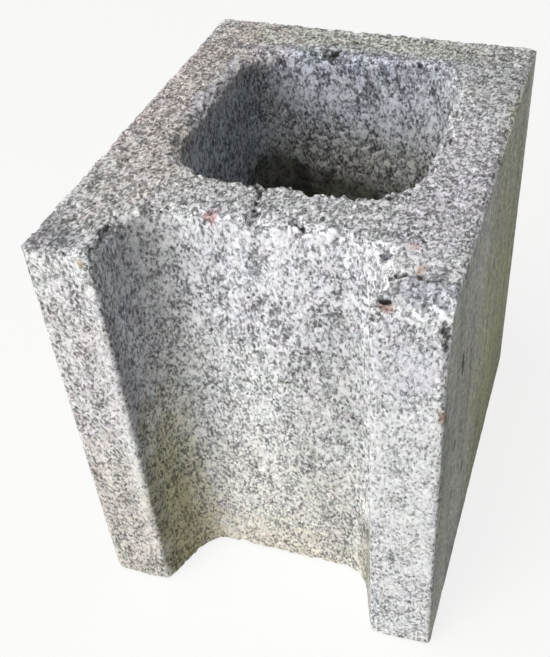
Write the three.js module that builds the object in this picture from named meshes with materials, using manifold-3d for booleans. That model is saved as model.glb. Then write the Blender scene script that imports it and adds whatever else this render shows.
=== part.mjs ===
import * as THREE from 'three';
import { mergeVertices } from 'three/addons/utils/BufferGeometryUtils.js';
import Module from 'manifold-3d';

// Half-length hollow concrete block, pressed in one piece around two tapered mould cores:
// one makes the through cell, the other the recess that is open at one end between two ears.
// Origin in the middle of the underside, +X across the wall, +Y towards the plain end, +Z up.

// Driving dimensions, in millimetres.

// The mould box
const WIDTH = 150; // between the two outer faces, which is the wall's thickness
const LENGTH = 190; // from the ends of the ears to the plain end
const HEIGHT = 190; // from the underside to the top bed
const CORNER_RADIUS = 2; // the four upright outer corners
const ARRIS = 1.2; // worn chamfer round the outer edges of the two bed faces
const TOP_RIM = 1.8; // the same round the core openings in the top bed, which crumble more
const LOWER_RIM = 1.2; // the same in the underside

// Walls, measured in the top bed, where they are thinnest
const FACE_SHELL = 26; // beside the cell
const END_WALL = 29.5; // behind the cell, at the plain end
const WEB = 25; // between the cell and the recess
const RECESS_DEPTH = 33; // from the ends of the ears to the web

// The two ears
const EAR_TIP = 27; // thickness at the end, the same from top to bottom
const EAR_ROOT_TOP = 26; // thickness where an ear meets the web, at the top bed
const EAR_ROOT_BOTTOM = 33; // the same at the underside, where the core is narrower
const EAR_EDGE_RADIUS = 2; // rounded inner edge of the end

// The cores
const DRAFT = 3.5; // what a wall gains from the top bed down to the underside
const CELL_WEB_RADIUS = 25; // cell corners next to the web, at the top bed
const CELL_END_RADIUS = 20; // cell corners next to the end wall, at the top bed
const RECESS_RADIUS = 18; // recess corners, at the top bed
const OVERRUN = 5; // how far a core runs on past the faces that it opens
const ARC_STEPS = 8; // flats that make one rounded corner
const FLANK_STEPS = 8; // bands that follow the twist of the recess flanks

// The two breaks that took the top corner off the right ear, measured from that corner
const BREAKS = [
  { alongEnd: 20, alongFace: 11, down: 6 },
  { alongEnd: 4.5, alongFace: 4, down: 26 },
];

const QUARTER = Math.PI / 2;
const earEnds = -LENGTH / 2;
const plainEnd = LENGTH / 2;

const wasm = await Module();
wasm.setup();

function solidFrom(geometry) {
  const bare = geometry.clone();
  bare.deleteAttribute('normal');
  bare.deleteAttribute('uv');
  const merged = mergeVertices(bare);
  return new wasm.Manifold(new wasm.Mesh({
    numProp: 3,
    vertProperties: merged.attributes.position.array,
    triVerts: Uint32Array.from(merged.index.array),
  }));
}

function geometryFrom(solid) {
  const { vertProperties, triVerts } = solid.getMesh();
  const geometry = new THREE.BufferGeometry();
  geometry.setAttribute('position', new THREE.BufferAttribute(vertProperties, 3));
  geometry.setIndex(new THREE.BufferAttribute(triVerts, 1));
  return geometry;
}

// The points of one rounded corner. It turns clockwise when its last angle is the smaller one.
function arc(x, y, radius, from, to) {
  return new THREE.EllipseCurve(x, y, radius, radius, from, to, to < from).getPoints(ARC_STEPS);
}

// A rectangle with one radius for its two front corners and another for its two back ones,
// counter-clockwise.
function roundedRectangle({ left, right, front, back, frontRadius, backRadius }) {
  return [
    ...arc(right - frontRadius, front + frontRadius, frontRadius, -QUARTER, 0),
    ...arc(right - backRadius, back - backRadius, backRadius, 0, QUARTER),
    ...arc(left + backRadius, back - backRadius, backRadius, QUARTER, 2 * QUARTER),
    ...arc(left + frontRadius, front + frontRadius, frontRadius, 2 * QUARTER, 3 * QUARTER),
  ];
}

// A solid skinned over level, counter-clockwise outlines with as many points each, lowest first.
function loft(sections) {
  const count = sections[0].outline.length;
  const position = sections.flatMap(({ z, outline }) => outline.flatMap(({ x, y }) => [x, y, z]));
  const index = [];
  for (let level = 0; level < sections.length - 1; level++) {
    for (let point = 0; point < count; point++) {
      const here = level * count + point;
      const next = level * count + ((point + 1) % count);
      index.push(here, next, next + count, here, next + count, here + count);
    }
  }
  const top = (sections.length - 1) * count;
  for (const [a, b, c] of THREE.ShapeUtils.triangulateShape(sections[0].outline, [])) {
    index.push(a, c, b);
  }
  for (const [a, b, c] of THREE.ShapeUtils.triangulateShape(sections.at(-1).outline, [])) {
    index.push(top + a, top + b, top + c);
  }
  const geometry = new THREE.BufferGeometry();
  geometry.setAttribute('position', new THREE.Float32BufferAttribute(position, 3));
  geometry.setIndex(index);
  return geometry;
}

// A core is skinned over its outline at each rim and at evenly spaced levels between the rims.
// outlineAt takes how far down the block a level is, from 0 in the top bed to 1 in the underside,
// and how much the worn rim widens the opening there.
function core(outlineAt, bands) {
  const levels = [[-OVERRUN, LOWER_RIM], [0, LOWER_RIM]];
  for (let level = 0; level <= bands; level++) {
    levels.push([THREE.MathUtils.lerp(LOWER_RIM, HEIGHT - TOP_RIM, level / bands), 0]);
  }
  levels.push([HEIGHT, TOP_RIM], [HEIGHT + OVERRUN, TOP_RIM]);
  return loft(levels.map(([z, flare]) => {
    const down = THREE.MathUtils.clamp(1 - z / HEIGHT, 0, 1);
    return { z, outline: outlineAt(down, flare) };
  }));
}

// The through cell: a drafted rectangle with rounder corners next to the web.
function cellOutline(down, flare) {
  const inset = DRAFT * down - flare;
  return roundedRectangle({
    left: -WIDTH / 2 + FACE_SHELL + inset,
    right: WIDTH / 2 - FACE_SHELL - inset,
    front: earEnds + RECESS_DEPTH + WEB + inset,
    back: plainEnd - END_WALL - inset,
    frontRadius: CELL_WEB_RADIUS - inset,
    backRadius: CELL_END_RADIUS - inset,
  });
}

// The end recess. Each flank is straight, and tangent both to the rounded inner edge of the ear and
// to the corner at the web. In the top bed the flanks are all but parallel. Further down the web end
// of the core is narrower, so they splay, while the mouth keeps its width.
function recessOutline(down, flare) {
  const inset = DRAFT * down - flare;
  const cornerRadius = RECESS_RADIUS - inset;
  const earRoot = THREE.MathUtils.lerp(EAR_ROOT_TOP, EAR_ROOT_BOTTOM, down) - flare;
  const edge = new THREE.Vector2(
    WIDTH / 2 - EAR_TIP + flare + EAR_EDGE_RADIUS,
    earEnds + EAR_EDGE_RADIUS,
  );
  const corner = new THREE.Vector2(
    WIDTH / 2 - earRoot - cornerRadius,
    earEnds + RECESS_DEPTH - inset - cornerRadius,
  );
  const across = corner.clone().sub(edge);
  const tangent = Math.asin((EAR_EDGE_RADIUS + cornerRadius) / across.length());
  const splay = across.angle() - tangent - QUARTER; // how far a flank leans inwards from +Y
  return [
    new THREE.Vector2(edge.x, earEnds - OVERRUN),
    ...arc(edge.x, edge.y, EAR_EDGE_RADIUS, 3 * QUARTER, 2 * QUARTER + splay),
    ...arc(corner.x, corner.y, cornerRadius, splay, QUARTER),
    ...arc(-corner.x, corner.y, cornerRadius, QUARTER, 2 * QUARTER - splay),
    ...arc(-edge.x, edge.y, EAR_EDGE_RADIUS, -splay, -QUARTER),
    new THREE.Vector2(-edge.x, earEnds - OVERRUN),
  ];
}

// The inside of the mould box, with the bed edges worn to a chamfer.
function mouldBox() {
  const outline = roundedRectangle({
    left: -WIDTH / 2,
    right: WIDTH / 2,
    front: earEnds,
    back: plainEnd,
    frontRadius: CORNER_RADIUS,
    backRadius: CORNER_RADIUS,
  });
  const geometry = new THREE.ExtrudeGeometry(new THREE.Shape(outline), {
    depth: HEIGHT - 2 * ARRIS,
    bevelThickness: ARRIS,
    bevelSize: ARRIS,
    bevelOffset: -ARRIS,
    bevelSegments: 1,
  });
  return geometry.translate(0, 0, ARRIS);
}

// Takes off what lies outside a slanting break near the right ear's top corner.
function breakCorner(solid, { alongEnd, alongFace, down }) {
  const corner = new THREE.Vector3(WIDTH / 2, earEnds, HEIGHT);
  const plane = new THREE.Plane().setFromCoplanarPoints(
    corner.clone().setX(corner.x - alongEnd),
    corner.clone().setZ(corner.z - down),
    corner.clone().setY(corner.y + alongFace),
  );
  const inward = plane.normal.clone().negate();
  return solid.trimByPlane(inward.toArray(), plane.constant);
}

const concrete = new THREE.MeshStandardMaterial({
  name: 'concrete',
  color: 0x9c9a95,
  roughness: 0.95,
  metalness: 0,
});

function halfBlock() {
  const pressed = solidFrom(mouldBox())
    .subtract(solidFrom(core(cellOutline, 1)))
    .subtract(solidFrom(core(recessOutline, FLANK_STEPS)));
  const solid = BREAKS.reduce(breakCorner, pressed);
  const mesh = new THREE.Mesh(geometryFrom(solid), concrete);
  mesh.name = 'half_block';
  return mesh;
}

const block = new THREE.Group();
block.name = 'concrete_half_block';
block.add(halfBlock());

export default block;
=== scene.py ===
import math

import bmesh
import bpy
import numpy as np
from mathutils import Matrix, Vector, noise
from mathutils.bvhtree import BVHTree


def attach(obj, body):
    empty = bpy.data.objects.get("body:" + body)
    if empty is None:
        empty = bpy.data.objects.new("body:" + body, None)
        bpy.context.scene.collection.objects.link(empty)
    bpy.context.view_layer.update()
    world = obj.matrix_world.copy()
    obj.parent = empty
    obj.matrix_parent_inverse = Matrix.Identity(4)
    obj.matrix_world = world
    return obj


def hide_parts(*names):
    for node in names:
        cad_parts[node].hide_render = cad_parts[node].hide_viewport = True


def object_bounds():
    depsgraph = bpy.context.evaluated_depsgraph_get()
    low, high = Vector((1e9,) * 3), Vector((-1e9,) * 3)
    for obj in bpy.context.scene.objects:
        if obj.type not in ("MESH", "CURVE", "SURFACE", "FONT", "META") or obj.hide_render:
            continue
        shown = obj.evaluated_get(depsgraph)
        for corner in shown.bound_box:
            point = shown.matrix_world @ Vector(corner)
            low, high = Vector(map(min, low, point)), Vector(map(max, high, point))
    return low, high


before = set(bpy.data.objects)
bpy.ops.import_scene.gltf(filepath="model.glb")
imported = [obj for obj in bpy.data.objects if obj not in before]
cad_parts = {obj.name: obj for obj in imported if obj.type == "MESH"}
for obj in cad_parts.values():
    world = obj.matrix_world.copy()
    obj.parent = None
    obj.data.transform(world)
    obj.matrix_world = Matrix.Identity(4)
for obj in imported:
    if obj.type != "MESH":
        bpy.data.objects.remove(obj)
cad_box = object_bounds()

# ---- Camera ----
# It stands in front of the open end, a little to the right, and looks down on the block. The lens
# axis meets the frame right of its middle and a little below, so the frame is shifted.
IMAGE_WIDTH, IMAGE_HEIGHT = 550, 657  # pixels
FOCAL_LENGTH = 950.3  # pixels
AXIS_X, AXIS_Y = 325, 340  # pixels, from the top left
CAMERA_PLACE = (0.1084, -0.3121, 0.3787)
CAMERA_TURN = (47.89, 2.06, 17.07)  # degrees about X, Y and Z

camera_data = bpy.data.cameras.new("camera")
camera_data.lens = camera_data.sensor_width * FOCAL_LENGTH / IMAGE_HEIGHT
camera_data.shift_x = (IMAGE_WIDTH / 2 - AXIS_X) / IMAGE_HEIGHT
camera_data.shift_y = (AXIS_Y - IMAGE_HEIGHT / 2) / IMAGE_HEIGHT
camera = bpy.data.objects.new("camera", camera_data)
camera.location = CAMERA_PLACE
camera.rotation_euler = [math.radians(angle) for angle in CAMERA_TURN]
bpy.context.scene.collection.objects.link(camera)
bpy.context.scene.camera = camera

# ---- The block as it left the mould ----
# One piece of dry concrete, pressed round two steel cores and pushed out of its mould while damp.
# Its walls are the solid's own, meshed in even squares fine enough for grains to be missing.
MM = 0.001  # metres
SAME_POINT = 0.001 * MM  # corners of the solid's triangles that are nearer than this are one
COARSE_SQUARE = 0.9 * MM  # of the mesh, while the edges are broken

moulded = bmesh.new()
moulded.from_mesh(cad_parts["half_block"].data)
bmesh.ops.remove_doubles(moulded, verts=moulded.verts, dist=SAME_POINT)
moulded.normal_update()
moulded.faces.ensure_lookup_table()
moulded_skin = BVHTree.FromBMesh(moulded)

block_mesh = bpy.data.meshes.new("concrete_block")
moulded.to_mesh(block_mesh)
block = bpy.data.objects.new("concrete_block", block_mesh)
bpy.context.scene.collection.objects.link(block)


def finish_modifier(kind, **settings):
    """Runs one modifier on the block and keeps the mesh that it makes."""
    modifier = block.modifiers.new(kind, kind)
    for name, value in settings.items():
        setattr(modifier, name, value)
    made = block.evaluated_get(bpy.context.evaluated_depsgraph_get())
    rough_mesh, block.data = block.data, bpy.data.meshes.new_from_object(made)
    block.modifiers.clear()
    bpy.data.meshes.remove(rough_mesh)


def read_vectors(source, name):
    """One row of three numbers for each vertex or normal of the source."""
    flat = np.empty(len(source) * 3, np.float32)
    source.foreach_get(name, flat)
    return flat.reshape(-1, 3).astype(float)


def move_points(points):
    """Puts the block's points in their new places, none of them outside the mould box."""
    inside = np.clip(points, cad_box[0], cad_box[1])
    block.data.vertices.foreach_set("co", inside.astype(np.float32).ravel())
    block.data.update()


finish_modifier("REMESH", mode="VOXEL", voxel_size=COARSE_SQUARE)
points = read_vectors(block.data.vertices, "co")

# ---- Broken edges ----
# Dry concrete has weak edges. Crumbs are gone all round the rims that the cores left in the top bed
# and the break at one ear's corner, fewer from its outer edges and from the underside.
RIM_ZONE = 6 * MM  # how far from an edge a crumb can reach
OUTER_ZONE = 3 * MM  # an arris this near the side of the mould box is an outer one
UPPER_HALF = 0.1  # metres up, above which all arrises belong to the top bed
EDGE_WORN = 0.25 * MM
RIM_STRENGTH, OUTER_STRENGTH, LOWER_STRENGTH = 1.0, 0.3, 0.35  # how much of the damage each has
SOUND_RIM = (-44 * MM, -20 * MM)  # the cell's rim left of this x and behind this y is sounder
SOUND_SHARE = 0.5
STRETCH_DEPTH, STRETCH_LENGTH = 1.2 * MM, 11 * MM  # where a whole stretch of rim is gone
CRUMBS = [  # size and depth in millimetres, and share gone
    (5.5, 3.2, 0.30),
    (1.5, 0.9, 0.5),
    (2.4, 2.0, 0.42),  # the size of the grains that may be left proud, too
]
BREAK_SLOPE = 0.85  # how much shallower a loss gets with each unit away from the arris
GRAINS_LEFT = 0.35  # share of those grains that still stand proud of the worn arris
GRAIN_PROUD, GRAIN_REACH = 1.4 * MM, 1.8 * MM
ARRIS_SLOPE = (0.3, 0.95)  # how far up or down the solid's arrises face
LUMP_FADE, LUMP_SPLIT = 0.8, 2.0  # how fast finer lumps fade, and how much finer each octave is
SEED_STEP = (13.7, 7.1, 3.3)  # how far apart two seeds read the noise, in lumps or grains
CENTRE_STEP = 57  # the same for two grains' centres


def lumps(points, size, octaves=1, seed=0):
    """Noise of about -1 to 1 at each point, in lumps of the given size."""
    offset = Vector([seed * step for step in SEED_STEP])
    spots = [Vector(point) + offset for point in points / size]
    return np.array([noise.fractal(spot, LUMP_FADE, LUMP_SPLIT, octaves) for spot in spots])


def grains(points, size, seed=0):
    """How near each point is to its grain's edge, from 0 to 1, and a random 0 to 1 for the grain."""
    offset = Vector([seed * step for step in SEED_STEP])
    near, luck = [], []
    for point in points / size:
        distances, centres = noise.voronoi(Vector(point) + offset)
        near.append(distances[0] / distances[1])
        luck.append(0.5 + 0.5 * noise.cell(centres[0] * CENTRE_STEP))
    return np.array(near), np.array(luck)


arrises = [f for f in moulded.faces if ARRIS_SLOPE[0] < abs(f.normal.z) < ARRIS_SLOPE[1]]
corners = [v.co.copy() for f in arrises for v in f.verts]
arris_skin = BVHTree.FromPolygons(corners, [(i, i + 1, i + 2) for i in range(0, len(corners), 3)])


def crumbled_edges(points):
    """The points near an arris, the way out there, what is lost, and what still stands proud."""
    hits = [arris_skin.find_nearest(Vector(p), RIM_ZONE) for p in points]
    close = np.flatnonzero([hit[0] is not None for hit in hits])
    places = np.array([hits[i][0] for i in close])
    outward = np.array([hits[i][1] for i in close])
    away = np.array([hits[i][3] for i in close])
    from_side = np.min(np.array(cad_box[1][:2]) - np.abs(places[:, :2]), 1)
    upper_strength = np.where(from_side < OUTER_ZONE, OUTER_STRENGTH, RIM_STRENGTH)
    strength = np.where(places[:, 2] > UPPER_HALF, upper_strength, LOWER_STRENGTH)
    sound = (places[:, 0] < SOUND_RIM[0]) & (places[:, 1] > SOUND_RIM[1])
    strength[sound] *= SOUND_SHARE
    worn_stretch = np.clip(lumps(points[close], STRETCH_LENGTH, 3), 0, 1)
    loss = EDGE_WORN + strength * STRETCH_DEPTH * worn_stretch
    for number, (size, depth, share) in enumerate(CRUMBS):
        near, luck = grains(points[close], size * MM, number)
        inner = np.clip(3 * (1 - near), 0, 1)
        loss += strength * depth * MM * inner * np.clip((share - luck) / share, 0, 1) ** 0.5
    left_share = np.clip((luck - 1 + GRAINS_LEFT) / GRAINS_LEFT, 0, 1) ** 0.5
    proud = strength * inner * left_share * np.clip(1.2 - away / GRAIN_REACH, 0, 1)
    return close, outward, np.clip(loss - BREAK_SLOPE * away, 0, None), proud


close, outward, lost, proud = crumbled_edges(points)
points[close] -= outward * (lost - GRAIN_PROUD * proud)[:, None]

# The larger holes in the top bed: place, half length, half width and depth in millimetres, and turn
# in degrees. Each one's number also seeds how uneven it is.
HOLES = [
    (-12, 71.5, 4.4, 1.7, 3.4, 30), (55, -77, 2.4, 1.7, 3.4, 10), (53.5, -91.5, 2.4, 1.2, 3.0, 0),
    (14.5, -59, 4.0, 1.2, 2.8, -35), (32, -62.5, 1.2, 1.2, 2.4, 0), (45, -71.5, 1.0, 0.9, 1.8, 0),
    (-57, 38.5, 1.4, 1.4, 2.2, 0), (-50, -90, 1.1, 2.0, 3.0, 20), (-48, -81, 1.4, 3.4, 4.0, 0),
    (-65, -76, 1.2, 5.0, 1.6, -35), (41.5, -36, 2.2, 1.8, 2.8, 0), (62.5, 80.5, 1.5, 1.3, 2.0, 0),
    (46.5, 84, 1.5, 1.3, 2.0, 0), (36, 66.5, 1.5, 1.2, 2.6, 0), (28, 68, 1.0, 1.8, 2.6, 20),
    (-18.5, -60, 0.9, 1.1, 1.8, 0), (-5, -48, 1.0, 7.0, 2.4, 10), (-3.2, -57.5, 2.0, 3.6, 3.4, -10),
    (-21, -37.5, 4.0, 1.8, 2.6, 0), (-7, -40, 2.2, 1.8, 2.6, 0), (30, -38, 4.0, 1.4, 2.4, 0),
    (50, -86, 1.0, 1.6, 2.4, -20), (60, -82, 1.0, 1.0, 1.8, 0), (-46.5, -75, 0.9, 2.2, 3.4, 20),
    (-43, -69, 0.8, 1.8, 3.0, 35), (-5, 72, 1.0, 1.8, 3.0, 0), (-5.5, 81.5, 2.4, 1.2, 2.8, 30),
    (0.5, 73.5, 0.9, 2.0, 2.6, 0), (5.6, 91, 1.2, 1.2, 2.4, 0),
]


def inside_hole(points, number):
    """Which points are near a hole, and where they are in it, as shares of its half sizes."""
    x, y, half_length, half_width, depth, turn = HOLES[number]
    radii = np.array((half_length, half_width, depth)) * MM
    from_middle = points - np.array((x * MM, y * MM, cad_box[1][2]))
    close = np.flatnonzero((np.abs(from_middle) < 1.5 * radii.max()).all(1))
    turned = np.array(Matrix.Rotation(math.radians(turn), 3, "Z"))
    shares = from_middle[close] @ turned / radii
    uneven = 1 + 0.3 * lumps(points[close], 2 * MM, 2, number)
    return close, shares / uneven[:, None]


for number in range(len(HOLES)):
    close, shares = inside_hole(points, number)
    across = (shares[:, :2] ** 2).sum(1)
    floor_share = -np.sqrt(np.clip(1 - across, 0, None))
    hit = (across < 1) & (shares[:, 2] > floor_share)
    depth = HOLES[number][4] * MM
    points[close[hit], 2] -= depth * (shares[hit, 2] - floor_share[hit])
move_points(points)

# ---- Faces ----
# The top bed was scraped off level, so it is open and gritty. The cores drew the walls of the cell
# and the recess pitted, and the mould box drew the outside tight, with only a few holes.
FINE_SQUARE = 0.65 * MM  # of the mesh, while the faces get their relief
BED_SLOPE = 0.98  # a face that points this far up or down is a bed
BROKEN_EAR = (50 * MM, -80 * MM)  # the breaks are right of this x and in front of this y
BREAK_FACING = (0.2, -0.2, 0.05)  # and face at least this far right, forwards and up
OUTER_SKIN = 1 * MM  # points this near the mould box are on an outer face
CELL_HALF, CELL_FRONT, CELL_BACK = 52 * MM, -40 * MM, 70 * MM  # a box that holds the cell's walls
finish_modifier("REMESH", mode="VOXEL", voxel_size=FINE_SQUARE)
points = read_vectors(block.data.vertices, "co")
normals = read_vectors(block.data.vertex_normals, "vector")


def moulded_faces(points):
    """What lies nearest to each point: its distance, and whether it is a bed, an edge or a break."""
    hits = [moulded_skin.find_nearest(Vector(p)) for p in points]
    facing = np.array([hit[1] for hit in hits])
    sunk = np.array([hit[3] for hit in hits])
    beds = np.abs(facing[:, 2]) > BED_SLOPE
    edges = (np.abs(facing[:, 2]) > ARRIS_SLOPE[0]) & ~beds
    right, forwards, up = BREAK_FACING
    slanting = (facing[:, 0] > right) & (facing[:, 1] < forwards) & (facing[:, 2] > up)
    breaks = slanting & (points[:, 0] > BROKEN_EAR[0]) & (points[:, 1] < BROKEN_EAR[1])
    return sunk, beds, edges | breaks


def in_cell(points):
    """Which points are on the walls of the cell."""
    between = (points[:, 1] > CELL_FRONT) & (points[:, 1] < CELL_BACK)
    return between & (np.abs(points[:, 0]) < CELL_HALF)


sunk, beds, edges = moulded_faces(points)
on_sides = np.abs(points[:, 0]) > cad_box[1][0] - OUTER_SKIN
on_plain_end = points[:, 1] > cad_box[1][1] - OUTER_SKIN
gritty = np.where(beds | edges, np.where(points[:, 2] > UPPER_HALF, 1.0, 0.35), 0)
gritty = np.maximum(gritty, np.clip(sunk / (0.8 * MM), 0, 0.8))
waves = lumps(points, 24 * MM, 1, 1)
knobs = lumps(points, 3.6 * MM, 3, 2)
near, luck = grains(points, 2.0 * MM, 3)
missing = np.clip(2 * (1 - near), 0, 1)
# Depths in millimetres: a drawn face is faintly wavy and knobbly, with a pit where a grain came
# away, and a gritty one has sunken grains and a few that stand higher.
pitted_share = np.where(on_sides | on_plain_end, 0.004, 0.05)
knobbly = np.where(in_cell(points), 0.22, 0.08)
relief = 0.12 + 0.08 * waves + knobbly * knobs + np.where(luck < pitted_share, 0.7 * missing, 0)
grit = 0.5 + 0.3 * knobs + missing * (0.9 * (luck < 0.2) - 0.35 * (luck > 0.75))
depth = (relief * (1 - gritty) + grit * gritty) * MM
points -= normals * np.clip(depth, 0, None)[:, None]
move_points(points)

# The mesh is thinned out twice, the second time only below the top bed and its rims, so that the
# crumbs there stay crisp.
FIRST_TRIANGLES, MOST_TRIANGLES = 360_000, 190_000
FINE_ZONE = 5 * MM  # below the top bed
triangles = sum(len(face.vertices) - 2 for face in block.data.polygons)
finish_modifier("DECIMATE", ratio=FIRST_TRIANGLES / triangles, use_collapse_triangulate=True)
points = read_vectors(block.data.vertices, "co")
top_points = np.flatnonzero(points[:, 2] > cad_box[1][2] - FINE_ZONE)
block.vertex_groups.new(name="top bed").add(top_points.tolist(), 1, "REPLACE")
finish_modifier("DECIMATE", ratio=MOST_TRIANGLES / FIRST_TRIANGLES, use_collapse_triangulate=True,
                vertex_group="top bed", vertex_group_factor=1, invert_vertex_group=True)
block.vertex_groups.clear()
block.data.shade_smooth()
points = read_vectors(block.data.vertices, "co")
move_points(points)

# ---- Paste, stains and painted shade ----
# The skin of cement paste is thicker in some places than in others, and rain, dust, earth and rusty
# grains have left films on it. Painted shade in the cell, on the left flank, in cracks and in the
# hollows of lost crumbs, and painted light in one corner of the recess, go with them. All are kept
# with the points of the mesh, for the material to read.
ragged = lumps(points, 7 * MM, 3, 5)  # makes the borders of patches uneven


def paint(name, values):
    """Keeps a number or a colour with each point of the block."""
    kind, field = ("FLOAT", "value") if values.ndim == 1 else ("FLOAT_COLOR", "color")
    attribute = block.data.attributes.new(name, kind, "POINT")
    attribute.data.foreach_set(field, values.astype(np.float32).ravel())


def patch(centre, reach):
    """How much of a ragged, soft-edged patch is at each point. Centre and reach in millimetres."""
    away = (((points / MM - centre) / reach) ** 2).sum(1)
    share = np.clip(1.2 - away + 0.35 * ragged, 0, 1)
    return share * share * (3 - 2 * share)


def linear(code):
    """The linear colour of an sRGB hex code."""
    parts = [int(code[i:i + 2], 16) / 255 for i in (1, 3, 5)]
    return [c / 12.92 if c <= 0.04045 else ((c + 0.055) / 1.055) ** 2.4 for c in parts] + [1.0]


# Where the paste is thicker, so paler, than elsewhere, or thinner: the patch's centre and reach in
# millimetres, and by how much. The smallest are single pale grains. The patch low in the recess's
# left corner is painted light, where that corner lies in shade.
PASTE_AND_LIGHT = [
    ((-51.5, -95, 90), (3.5, 6, 95), 0.14), ((72, -95, 100), (5, 6, 95), 0.06),
    ((60, -95, 90), (16, 6, 100), 0.07), ((0, -62, 60), (40, 10, 60), 0.03),
    ((0, -62, 184), (44, 10, 9), 0.05), ((0, 15, 120), (70, 70, 66), -0.08),
    ((-37.2, -64.1, 155.5), (5, 4, 1.6), 0.25), ((-35.5, -64.6, 110), (4, 4, 2.4), 0.25),
    ((-28.5, -62.9, 140.5), (3, 4, 3), 0.25), ((32.6, -62.7, 161.3), (3.2, 4, 4.2), 0.22),
    ((30.3, -63.4, 115.2), (3.0, 4, 3.4), 0.22), ((-0.6, -62.6, 159.8), (1.6, 4, 2.0), 0.22),
    ((27.5, -64, 81.6), (2.2, 4, 2.6), 0.22), ((-20, -62.8, 146), (2.4, 4, 3.4), 0.25),
    ((-14, 66, 100), (60, 14, 40), 0.14), ((-22, -62, 75), (12, 8, 45), -0.03),
    ((-38, 57, 120), (24, 24, 28), 0.05), ((0, 66, 182), (50, 8, 10), -0.08),
    ((54, -68, 190), (18, 10, 3), 0.1), ((62, 0, 190), (14, 60, 3), 0.02),
    ((60, -95, 168), (14, 6, 16), 0.03), ((64, -88, 187), (14, 10, 6), 0.07),
    ((12, 66, 150), (26, 10, 14), 0.06), ((-30, -64, 15), (16, 14, 30), 0.07),
    ((-51.5, 30, 190), (3, 40, 2), 0.12), ((-23, 65, 182), (2.6, 4, 3), 0.3),
    ((-13, 65, 170), (2.2, 4, 2.4), 0.3), ((-4, 65, 172), (3.4, 4, 2.6), 0.3),
    ((-19, 65, 177), (1.6, 4, 1.2), 0.3), ((2, 65, 180), (1.6, 4, 1.6), 0.3),
    ((17, 65, 171), (2.6, 4, 2), 0.3), ((-52.5, -84.5, 190), (2.2, 1.8, 2), 0.25),
    ((-50, -83, 189), (1.6, 1.6, 2), 0.3), ((-47.5, -70.5, 189), (2.4, 2.2, 2), 0.3),
]
paste_light_and_shade = sum(shift * patch(centre, reach) for centre, reach, shift in PASTE_AND_LIGHT)
# The lean mix of the cell's walls has larger lumps, and less paste over them.
lumpiness = 0.55 * patch((0, 16, 110), (75, 75, 110)) * in_cell(points)
paste_light_and_shade -= 0.5 * lumpiness

# Films of damp, dust and earth, and painted shade: a patch's centre and reach in millimetres, and
# the colour that it gives white paste.
FILMS = [
    # the cell: painted shade, darker low down and towards its back left corner, and faint tints
    ((-49, 25, 160), (12, 52, 48), "#e8f0fa"),
    ((0, 65, 184), (60, 14, 42), "#f4f6ff"),
    ((0, 65, 120), (60, 14, 40), "#fcfaf0"),
    ((-38, 57, 120), (24, 24, 28), "#80807a"),
    ((-14, 66, 100), (60, 14, 38), "#74746a"),
    ((0, 66, 187), (46, 10, 10), "#f0f1f4"),
    # the recess
    ((24, -64, 90), (22, 14, 90), "#ebebea"),
    ((32, -63.5, 128), (12, 8, 45), "#f1f1f1"),
    ((10, -62, 165), (60, 14, 40), "#fbfaff"),
    ((0, -66, 20), (60, 26, 70), "#fdfaf4"),
    ((-5, -66, -8), (60, 26, 40), "#fbf7f0"),
    ((44, -74, 20), (10, 20, 36), "#d8d6ce"),
    ((-43, -77, 25), (15, 20, 105), "#f1edda"),
    # the ends of the ears
    ((62, -95, 90), (20, 6, 110), "#f4f4f5"),
    ((60, -95, 168), (14, 6, 22), "#f6f5fc"),
    ((-64, -95, 30), (22, 6, 80), "#f0e9e0"),
    ((-64, -95, 130), (22, 6, 50), "#f5f0f0"),
    # the right outer face, olive low down and towards the back, and a little darker near its front
    # end
    ((75, 70, 20), (12, 90, 110), "#ececda"),
    ((75, 30, 90), (6, 70, 120), "#f5f5df"),
    ((75, -78, 110), (4, 16, 110), "#ecedec"),
    ((75, -58, 105), (4, 34, 60), "#f4f4f2"),
    # the top bed
    ((-55, 20, 190), (30, 100, 10), "#fbf1ec"),
    ((-69, -90, 190), (16, 13, 3), "#d2d0d4"),
    ((60, 60, 190), (24, 34, 10), "#ececec"),
    ((62, -20, 190), (20, 60, 10), "#fbf8fe"),
    ((0, 84, 190), (76, 16, 10), "#f5f5ed"),
    # the broken corner, with painted shade and dirt in its cracks
    ((68, -86, 191), (18, 11, 5), "#f0f1f9"),
    ((72.5, -94, 183), (1.1, 1.5, 2.4), "#504c56"),
    ((73.5, -94, 176), (1.0, 1.5, 3), "#504c56"),
    ((73.3, -95, 169), (0.9, 1.5, 2), "#504c56"),
    # rust and earth round single grains
    ((60.5, -74, 190), (2.0, 2.4, 3), "#dcc6b8"),
    ((61.2, -77.5, 190), (1.8, 1.3, 3), "#6c5242"),
    ((54, -93.5, 189), (3.2, 1.8, 3), "#c4a8a4"),
    ((-18.5, -60.5, 189), (3.2, 2.6, 5), "#e4c4c0"),
    ((-51.5, -95, 186), (1.8, 2, 2.6), "#b4a88c"),
    ((55.5, -62, 190), (2.6, 2.2, 3), "#ecd4d2"),
    ((74.5, -95, 145), (2.0, 3, 3), "#f0ccc0"),
]
# The left ear's flank gets painted shade too, with faint tints, but only behind the edge of its end
# face.
FLANK_SHADE = [
    ((-46, -84, 150), (9, 17, 75), "#e4e6ec"),
    ((-46, -84, 30), (9, 17, 85), "#dedcca"),
    ((-47, -92, 85), (8, 7, 100), "#d8d8d8"),
]
FLANK_START = -94.3 * MM
film_and_shade_colour = np.ones((len(points), 4))
for centre, reach, code in FILMS:
    film_and_shade_colour *= 1 + patch(centre, reach)[:, None] * (np.array(linear(code)) - 1)
for centre, reach, code in FLANK_SHADE:
    behind = patch(centre, reach) * np.clip((points[:, 1] - FLANK_START) / MM, 0, 1)
    film_and_shade_colour *= 1 + behind[:, None] * (np.array(linear(code)) - 1)

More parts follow.
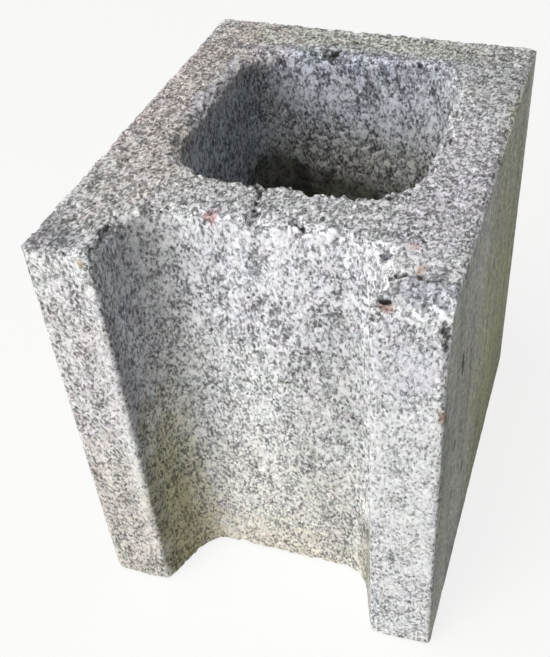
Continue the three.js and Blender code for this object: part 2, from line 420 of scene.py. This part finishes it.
# Grains left standing on an edge are pale, and the hollows of lost crumbs get painted shade.
edge_tone = np.zeros(len(points))
close, _, lost, proud = crumbled_edges(points)
edge_tone[close] = proud - 0.4 * np.clip(lost / (2 * MM), 0, 1)
paste_light_and_shade += 0.35 * edge_tone

# How far inside a hole of the top bed each point is. The holes are painted dark, with shade and
# dirt, from half a millimetre down.
pits = np.zeros(len(points))
for number in range(len(HOLES)):
    close, shares = inside_hole(points, number)
    pits[close] = np.maximum(pits[close], 1.6 - (shares ** 2).sum(1))
below_bed = (cad_box[1][2] - points[:, 2]) / MM

sunk, beds, edges = moulded_faces(points)
on_sides = np.abs(points[:, 0]) > cad_box[1][0] - OUTER_SKIN
on_plain_end = points[:, 1] > cad_box[1][1] - OUTER_SKIN
behind_ear_ends = points[:, 1] > cad_box[0][1] + OUTER_SKIN
paint("open", np.where(beds | edges, 1, np.clip(sunk / MM - 0.3, 0, 1)))
paint("drawn", ((on_sides | on_plain_end) & behind_ear_ends).astype(float))
paint("pit", np.clip(2.5 * pits, 0, 1) * np.clip(below_bed - 0.5, 0, 1))
paint("lumpy", lumpiness)
paint("paste_light_shade", paste_light_and_shade)
paint("film_and_shade", film_and_shade_colour)

# ---- Concrete ----
# Grey cement paste over sand and fine gravel, pressed nearly dry, so it never shines. The steel drew
# the paste over the grains in pale islands with grey gaps between them. Where the block was scraped
# or broken, each grain shows its own grey.
concrete = bpy.data.materials.new("pressed_concrete")
concrete.use_nodes = True
tree = concrete.node_tree
bsdf = tree.nodes["Principled BSDF"]


def add(kind, inputs=(), **settings):
    """Adds a node to the open tree, with its settings, and fills or links its inputs."""
    made = tree.nodes.new("ShaderNode" + kind)
    for name, value in settings.items():
        setattr(made, name, value)
    for name, value in dict(inputs).items():
        if isinstance(value, bpy.types.NodeSocket):
            tree.links.new(value, made.inputs[name])
        else:
            made.inputs[name].default_value = value
    return made


FACTOR, FIRST, SECOND, MIXED = 0, 6, 7, 2  # the sockets of a colour Mix node
LESS, MORE = 2, 3  # and the value sockets of a plain one

# Most of the sand is finer than half a millimetre, which wouldn't show grain by grain, so its
# patterns are drawn 0.8 to 1.2 mm wide, as its coarsest grains are. The steel drew the skin out
# upright, and the scraper drew the bed out along the block.
place = add("TexCoord").outputs["Object"]
upright = add("Mapping", {"Vector": place, "Scale": (1, 1, 0.62)}).outputs[0]
dragged = add("Mapping", {"Vector": place, "Scale": (1, 1, 0.5)}).outputs[0]
streaked = add("Mapping", {"Vector": place, "Scale": (1, 1, 0.12)}).outputs[0]
scraped = add("Mapping", {"Vector": place, "Scale": (1, 0.7, 1)}).outputs[0]
open_mask = add("Attribute", attribute_name="open").outputs["Fac"]
drawn_mask = add("Attribute", attribute_name="drawn").outputs["Fac"]
pit_mask = add("Attribute", attribute_name="pit").outputs["Fac"]
# The paste's thickness, with painted light and shade mixed in.
paste_light_shade_shift = add("Attribute", attribute_name="paste_light_shade").outputs["Fac"]
lumpy = add("Attribute", attribute_name="lumpy").outputs["Fac"]
# The films, with painted shade among them.
film_and_shade = add("Attribute", attribute_name="film_and_shade").outputs["Color"]

# Skin of the cored walls and ear ends: pale paste in patches, blobs and fine islands, with grey
# gaps and a few dark pores between them.
flakes = add("TexVoronoi", {"Vector": upright, "Scale": 1 / (0.9 * MM)}).outputs["Color"]
flake = add("SeparateColor", {"Color": flakes}).outputs["Red"]
islands = add("TexNoise", {"Vector": upright, "Scale": 1 / (1.2 * MM), "Detail": 2,
                           "Roughness": 0.8}).outputs["Fac"]
patches = add("TexNoise", {"Vector": dragged, "Scale": 1 / (8 * MM), "Detail": 2}).outputs["Fac"]
blobs = add("TexNoise", {"Vector": place, "Scale": 1 / (4 * MM), "Detail": 1}).outputs["Fac"]
commoner = add("Math", {0: lumpy, 1: 0.1, 2: blobs}, operation="MULTIPLY_ADD").outputs[0]
stronger = add("Math", {0: lumpy, 1: 0.35, 2: 0.15}, operation="MULTIPLY_ADD").outputs[0]
blob = add("MapRange", {"Value": commoner, "From Min": 0.60, "From Max": 0.66,
                        "To Max": stronger}).outputs[0]
shifted = add("Math", {0: patches, 1: 0.45, 2: islands}, operation="MULTIPLY_ADD").outputs[0]
flaked = add("Math", {0: flake, 1: 0.35, 2: shifted}, operation="MULTIPLY_ADD").outputs[0]
blobbed = add("Math", {0: flaked, 1: blob}, operation="ADD").outputs[0]
lumps_seen = add("TexNoise", {"Vector": place, "Scale": 1 / (3 * MM), "Detail": 2}).outputs["Fac"]
leaner = add("Math", {0: lumpy, 1: -0.12, 2: blobbed}, operation="MULTIPLY_ADD").outputs[0]
blotched = add("Math", {0: lumps_seen, 1: lumpy, 2: leaner}, operation="MULTIPLY_ADD").outputs[0]
thickness = add("Math", {0: blotched, 1: paste_light_shade_shift}, operation="ADD").outputs[0]
paste_light_shade = add("MapRange", {"Value": thickness, "From Min": 0.56, "From Max": 1.19}).outputs[0]
skin = add("ValToRGB", {"Fac": paste_light_shade})
skin.color_ramp.elements[0].color = linear("#505050")
skin.color_ramp.elements[1].color = linear("#ffffff")
for stop, code in [(0.22, "#7c7c7d"), (0.42, "#a8a8a9"), (0.58, "#d8d8da"), (0.75, "#ececee")]:
    skin.color_ramp.elements.new(stop).color = linear(code)

# Skin of the outer faces: paste drawn tight by the mould box, with fine upright streaks and a few
# short pores, painted dark with shade and dirt.
streaks = add("TexNoise", {"Vector": streaked, "Scale": 1 / (0.8 * MM), "Detail": 3,
                           "Roughness": 0.7}).outputs["Fac"]
speckle = add("TexNoise", {"Vector": place, "Scale": 1 / (1.8 * MM), "Detail": 3,
                           "Roughness": 0.8}).outputs["Fac"]
bands = add("TexNoise", {"Vector": streaked, "Scale": 1 / (12 * MM), "Detail": 2}).outputs["Fac"]
thin_streaks = add("Math", {0: streaks, 1: 0.6}, operation="MULTIPLY").outputs[0]
speckled = add("Math", {0: speckle, 1: 1.6, 2: thin_streaks}, operation="MULTIPLY_ADD").outputs[0]
drawn_tone = add("Math", {0: bands, 1: 0.45, 2: speckled}, operation="MULTIPLY_ADD").outputs[0]
drawn_share = add("MapRange", {"Value": drawn_tone, "From Min": 1.0, "From Max": 1.59}).outputs[0]
drawn = add("ValToRGB", {"Fac": drawn_share})
drawn.color_ramp.elements[0].color = linear("#444442")
drawn.color_ramp.elements[1].color = linear("#f4f4ef")
drawn.color_ramp.elements.new(0.5).color = linear("#b6b6b3")
pores = add("TexVoronoi", {"Vector": dragged, "Scale": 1 / (8 * MM)})
pore_luck = add("SeparateColor", {"Color": pores.outputs["Color"]}).outputs["Red"]
pore_size = add("MapRange", {"Value": pore_luck, "From Min": 0.75, "To Max": 0.12}).outputs[0]
in_pore = add("Math", {0: pore_size, 1: pores.outputs["Distance"]}, operation="SUBTRACT").outputs[0]
pore = add("MapRange", {"Value": in_pore, "From Max": 0.05}).outputs[0]
outer_face = add("Mix", {FACTOR: pore, FIRST: drawn.outputs[0], SECOND: linear("#2c2c28")},
                 data_type="RGBA").outputs[MIXED]

# The open bed: sand grains, each of its own grey, in paste, with paler crumbs and dark holes.
sand = add("TexVoronoi", {"Vector": scraped, "Scale": 1 / (0.9 * MM)}).outputs["Color"]
sand_tone = add("SeparateColor", {"Color": sand}).outputs["Red"]
crumbs = add("TexNoise", {"Vector": place, "Scale": 1 / (5 * MM), "Detail": 3}).outputs["Fac"]
fines = add("TexNoise", {"Vector": scraped, "Scale": 1 / (1.1 * MM), "Detail": 2,
                         "Roughness": 0.8}).outputs["Fac"]
crumbled = add("Math", {0: crumbs, 1: 0.5, 2: fines}, operation="MULTIPLY_ADD").outputs[0]
sanded = add("Math", {0: sand_tone, 1: 0.35, 2: crumbled}, operation="MULTIPLY_ADD").outputs[0]
both = add("Math", {0: sanded, 1: paste_light_shade_shift}, operation="ADD").outputs[0]
bed_tone = add("MapRange", {"Value": both, "From Min": 0.6, "From Max": 1.15}).outputs[0]
open_bed = add("ValToRGB", {"Fac": bed_tone})
open_bed.color_ramp.elements[0].color = linear("#303030")
open_bed.color_ramp.elements[1].color = linear("#ffffff")
for stop, code in [(0.15, "#747474"), (0.3, "#929292"), (0.5, "#a8a8a8"), (0.64, "#d6d6d6"),
                   (0.8, "#ffffff")]:
    open_bed.color_ramp.elements.new(stop).color = linear(code)

# Skin, outer face and open bed are put together, and the open bed has a ragged border.
outer = add("Mix", {FACTOR: drawn_mask, FIRST: skin.outputs[0], SECOND: outer_face},
            data_type="RGBA").outputs[MIXED]
ragged_mask = add("Math", {0: fines, 1: 0.6, 2: open_mask}, operation="MULTIPLY_ADD").outputs[0]
open_share = add("MapRange", {"Value": ragged_mask, "From Min": 0.7, "From Max": 0.85}).outputs[0]
surface = add("Mix", {FACTOR: open_share, FIRST: outer, SECOND: open_bed.outputs[0]},
              data_type="RGBA").outputs[MIXED]

# The few large pores of the right outer face: place along and up it, half length and half height, in
# millimetres. They are painted dark with shade and dirt, as the holes in the top bed are.
LARGE_PORES = [(-62.9, 143.5, 2.8, 3.4), (-61.5, 138, 2.4, 3.2), (-66.8, 101.3, 2.6, 2.4),
               (-38.9, 58.4, 2.4, 2.2), (-65.4, 70.3, 2.0, 1.9)]
PORE_REACH = 4  # millimetres into the face
for y, z, half_length, half_height in LARGE_PORES:
    centre = np.array((cad_box[1][0] / MM, y, z))
    scale = 1 / np.array((PORE_REACH, half_length, half_height))
    from_middle = add("Mapping", {"Vector": place, "Location": -centre * scale, "Scale": scale / MM})
    away = add("VectorMath", {0: from_middle.outputs[0]}, operation="LENGTH").outputs["Value"]
    uneven = add("Math", {0: speckle, 1: 0.8, 2: away}, operation="MULTIPLY_ADD").outputs[0]
    in_pore = add("MapRange", {"Value": uneven, "From Min": 1.5, "From Max": 1.3}).outputs[0]
    pit_mask = add("Math", {0: pit_mask, 1: in_pore}, operation="MAXIMUM").outputs[0]

# The films and painted shade lie over all of it, and everything but the holes has a faint mixed
# tint.
filmed_and_shaded = add("Mix", {FACTOR: 1.0, FIRST: surface, SECOND: film_and_shade},
             data_type="RGBA", blend_type="MULTIPLY").outputs[MIXED]
tints = add("TexNoise", {"Vector": place, "Scale": 1 / (8 * MM), "Detail": 2}).outputs["Color"]
tinted = add("Mix", {FACTOR: 0.16, FIRST: filmed_and_shaded, SECOND: tints},
             data_type="RGBA", blend_type="SOFT_LIGHT").outputs[MIXED]
# The holes of the top bed and the large pores get painted shade and dirt.
colour = add("Mix", {FACTOR: pit_mask, FIRST: tinted, SECOND: linear("#2b2523")},
             data_type="RGBA").outputs[MIXED]
tree.links.new(colour, bsdf.inputs["Base Color"])
bsdf.inputs["Roughness"].default_value = 0.9

# Paste stands a little over the gaps, and grains over the paste of the bed.
BUMP_HEIGHT = 0.6 * MM
skin_height = add("Math", {0: paste_light_shade, 1: 0.5}, operation="MULTIPLY").outputs[0]
drawn_height = add("Math", {0: speckle, 1: 0.6}, operation="MULTIPLY").outputs[0]
wall_height = add("Mix", {FACTOR: drawn_mask, LESS: skin_height, MORE: drawn_height}).outputs[0]
bed_height = add("Math", {0: bed_tone, 1: 0.25}, operation="MULTIPLY").outputs[0]
height = add("Mix", {FACTOR: open_share, LESS: wall_height, MORE: bed_height}).outputs[0]
bump = add("Bump", {"Height": height, "Distance": BUMP_HEIGHT, "Strength": 0.8})
tree.links.new(bump.outputs[0], bsdf.inputs["Normal"])

block.data.materials.clear()
block.data.materials.append(concrete)
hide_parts("half_block")
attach(block, "root")

# ---- Floor and light ----
# A sheet of pale matt paper under the block, and a plain pale room. Both look evenly bright to the
# eye, without lighting the block, and the paper keeps the block's shadow.
FLOOR_HALF = 4  # metres
floor_sheet = bmesh.new()
bmesh.ops.create_grid(floor_sheet, x_segments=1, y_segments=1, size=FLOOR_HALF)
floor_mesh = bpy.data.meshes.new("floor")
floor_sheet.to_mesh(floor_mesh)
floor = bpy.data.objects.new("floor", floor_mesh)
bpy.context.scene.collection.objects.link(floor)
pale_floor = bpy.data.materials.new("floor_paper")
pale_floor.use_nodes = True
tree = pale_floor.node_tree
paper = tree.nodes["Principled BSDF"]
paper.inputs["Base Color"].default_value = linear("#dcdcd4")
paper.inputs["Roughness"].default_value = 1


def seen_directly():
    """1 for a ray from the camera, a reflection or a clear body, and 0 for one that only lights."""
    rays = add("LightPath").outputs
    straight = add("Math", {0: rays["Is Camera Ray"], 1: rays["Is Glossy Ray"]}, operation="MAXIMUM")
    return add("Math", {0: straight.outputs[0], 1: rays["Is Transmission Ray"]}, operation="MAXIMUM")


GLOW_SHARE, GLOW_STRENGTH = 0.75, 1.1  # what is left of the paper takes light and shadow
share = add("Math", {0: seen_directly().outputs[0], 1: GLOW_SHARE}, operation="MULTIPLY")
glow = add("Emission", {"Strength": GLOW_STRENGTH})
sheet = add("MixShader", {0: share.outputs[0], 1: paper.outputs[0], 2: glow.outputs[0]})
tree.links.new(sheet.outputs[0], tree.nodes["Material Output"].inputs[0])
floor.data.materials.append(pale_floor)

world = bpy.data.worlds.new("studio")
bpy.context.scene.world = world
world.use_nodes = True
tree = world.node_tree
room_light = tree.nodes["Background"]
ROOM_STRENGTH, BACKDROP_STRENGTH = 0.04, 0.95
room_light.inputs["Color"].default_value = linear("#edf7ff")
room_light.inputs["Strength"].default_value = ROOM_STRENGTH
backdrop = add("Background", {"Strength": BACKDROP_STRENGTH})
backdrop.inputs["Color"].default_value = linear("#fbfbf9")
room = add("MixShader", {0: seen_directly().outputs[0], 1: room_light.outputs[0],
                         2: backdrop.outputs[0]})
tree.links.new(room.outputs[0], tree.nodes["World Output"].inputs[0])

# Two large soft boxes light the block, one low in front of its left side and one overhead, and a
# weak one behind its right side lifts the shadows there.
SOFT_BOXES = {  # degrees round from the open end towards the left side, degrees up, and watts
    "front_soft_box": (30, 15, 68),
    "top_soft_box": (30, 72, 44),
    "back_soft_box": (-140, 15, 11),
}
BOX_AWAY, BOX_SIZE = 3.0, 2.0  # metres
LIT_PLACE = Vector((0, 0, 0.1))  # the middle of the block
for name, (side, rise, watts) in SOFT_BOXES.items():
    soft_box = bpy.data.lights.new(name, "AREA")
    soft_box.shape = "DISK"
    soft_box.size = BOX_SIZE
    soft_box.energy = watts
    stand = bpy.data.objects.new(name, soft_box)
    side, rise = math.radians(side), math.radians(rise)
    towards = Vector((-math.sin(side) * math.cos(rise), -math.cos(side) * math.cos(rise),
                      math.sin(rise)))
    stand.location = LIT_PLACE + BOX_AWAY * towards
    stand.rotation_euler = towards.to_track_quat("Z", "Y").to_euler()
    bpy.context.scene.collection.objects.link(stand)

bpy.context.scene.view_settings.view_transform = "Standard"
